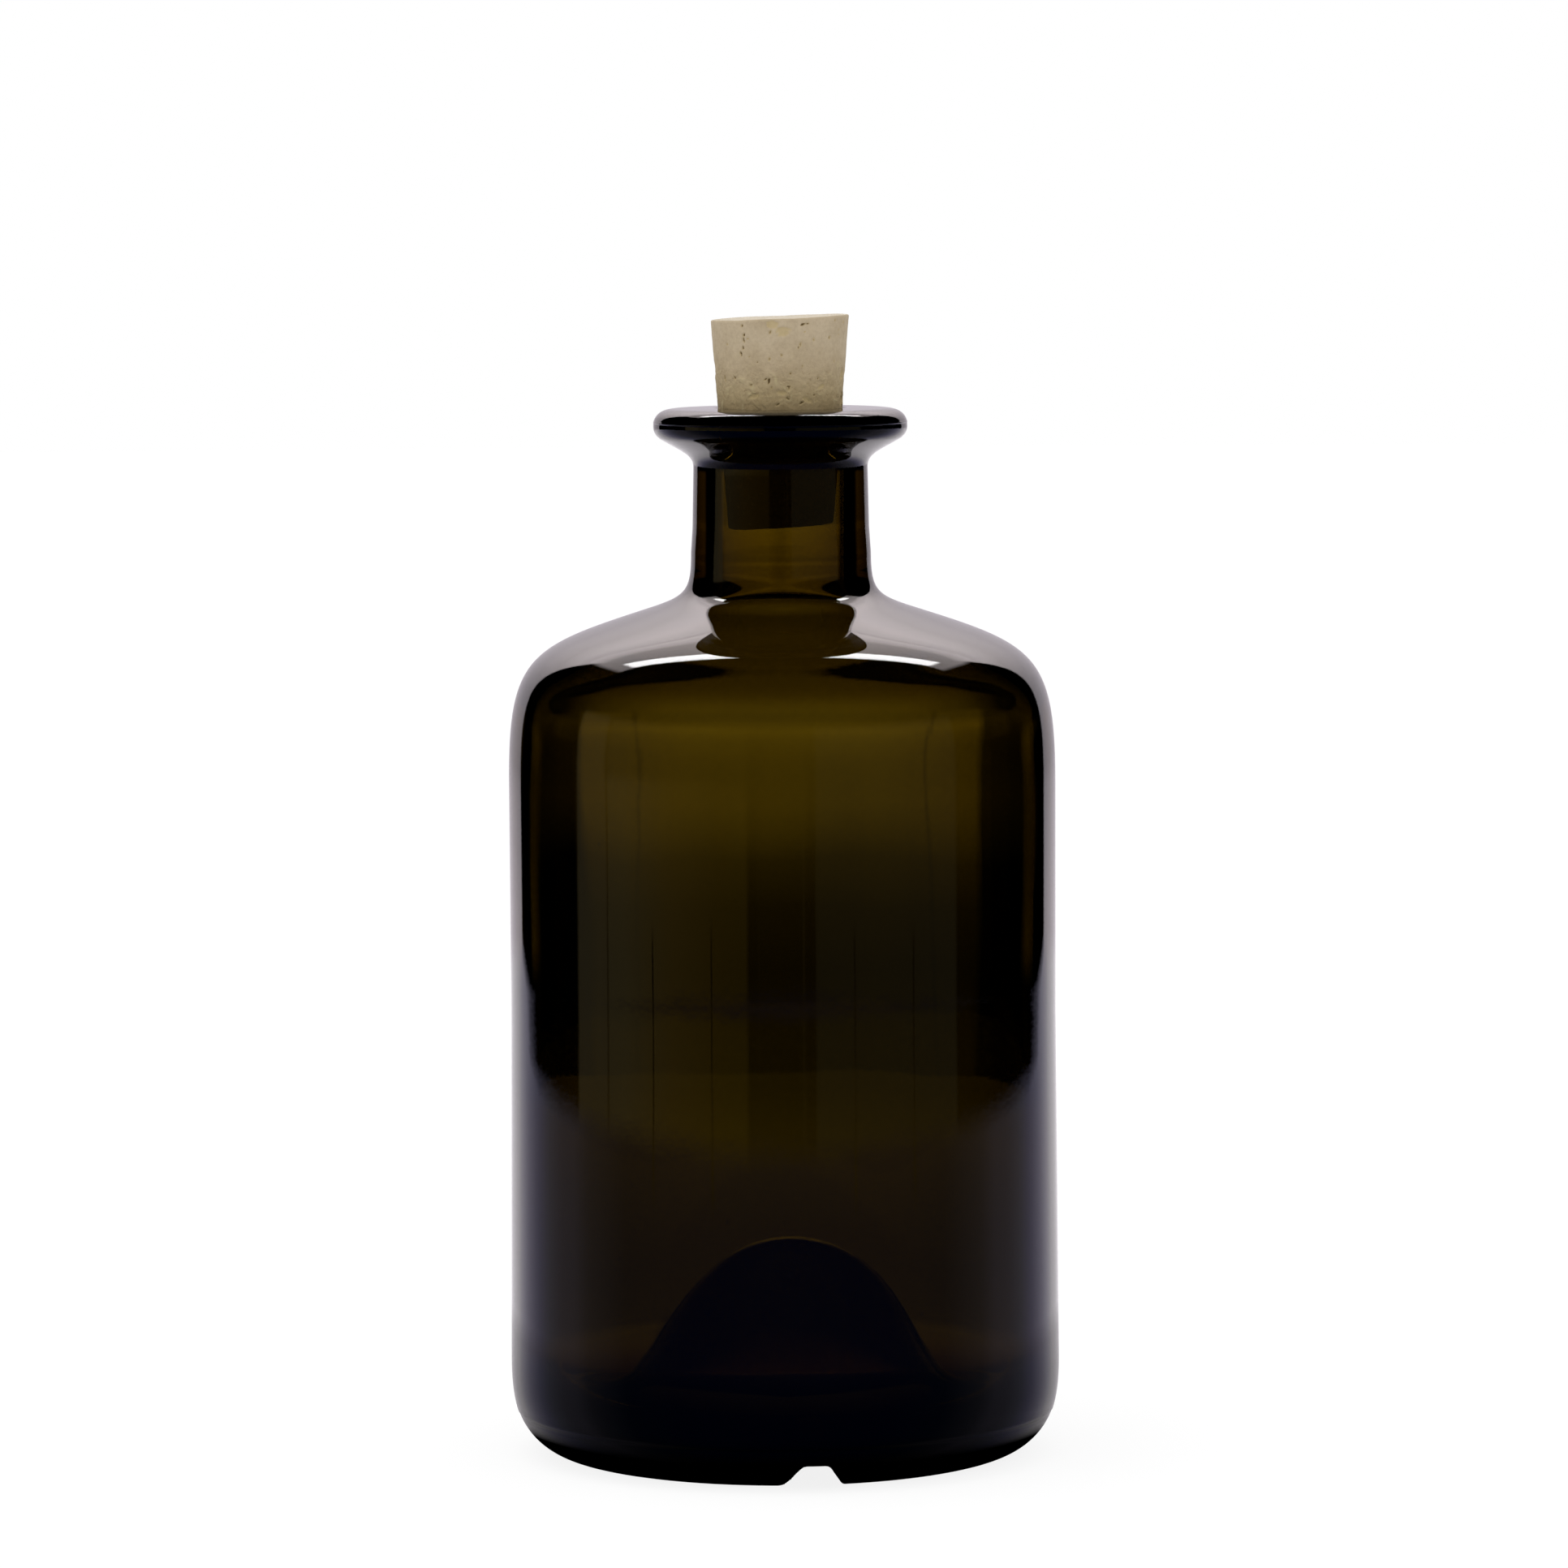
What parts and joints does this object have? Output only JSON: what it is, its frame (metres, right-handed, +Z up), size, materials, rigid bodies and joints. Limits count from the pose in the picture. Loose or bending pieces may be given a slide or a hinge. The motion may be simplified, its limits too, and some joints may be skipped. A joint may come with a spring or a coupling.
{
  "type": "apothecary bottle",
  "caption": "Round dark green glass bottle with a straight body, low rounded shoulder, short neck, flared lip and hollow foot, closed with a tapered cork.",
  "frame": {"origin": "centre of the ring that the bottle stands on, at the floor", "axes": "+Z up along the bottle's axis, -Y towards the viewer of the front, +X to that viewer's right"},
  "size_m": [0.0864, 0.0864, 0.1792],
  "materials": {
    "glass": "clear dark olive green glass, gloss",
    "cork": "natural cork, matte, with brown pores"
  },
  "bodies": {
    "root": {"bottle": "glass", "cork": "cork"}
  },
  "joints": []
}
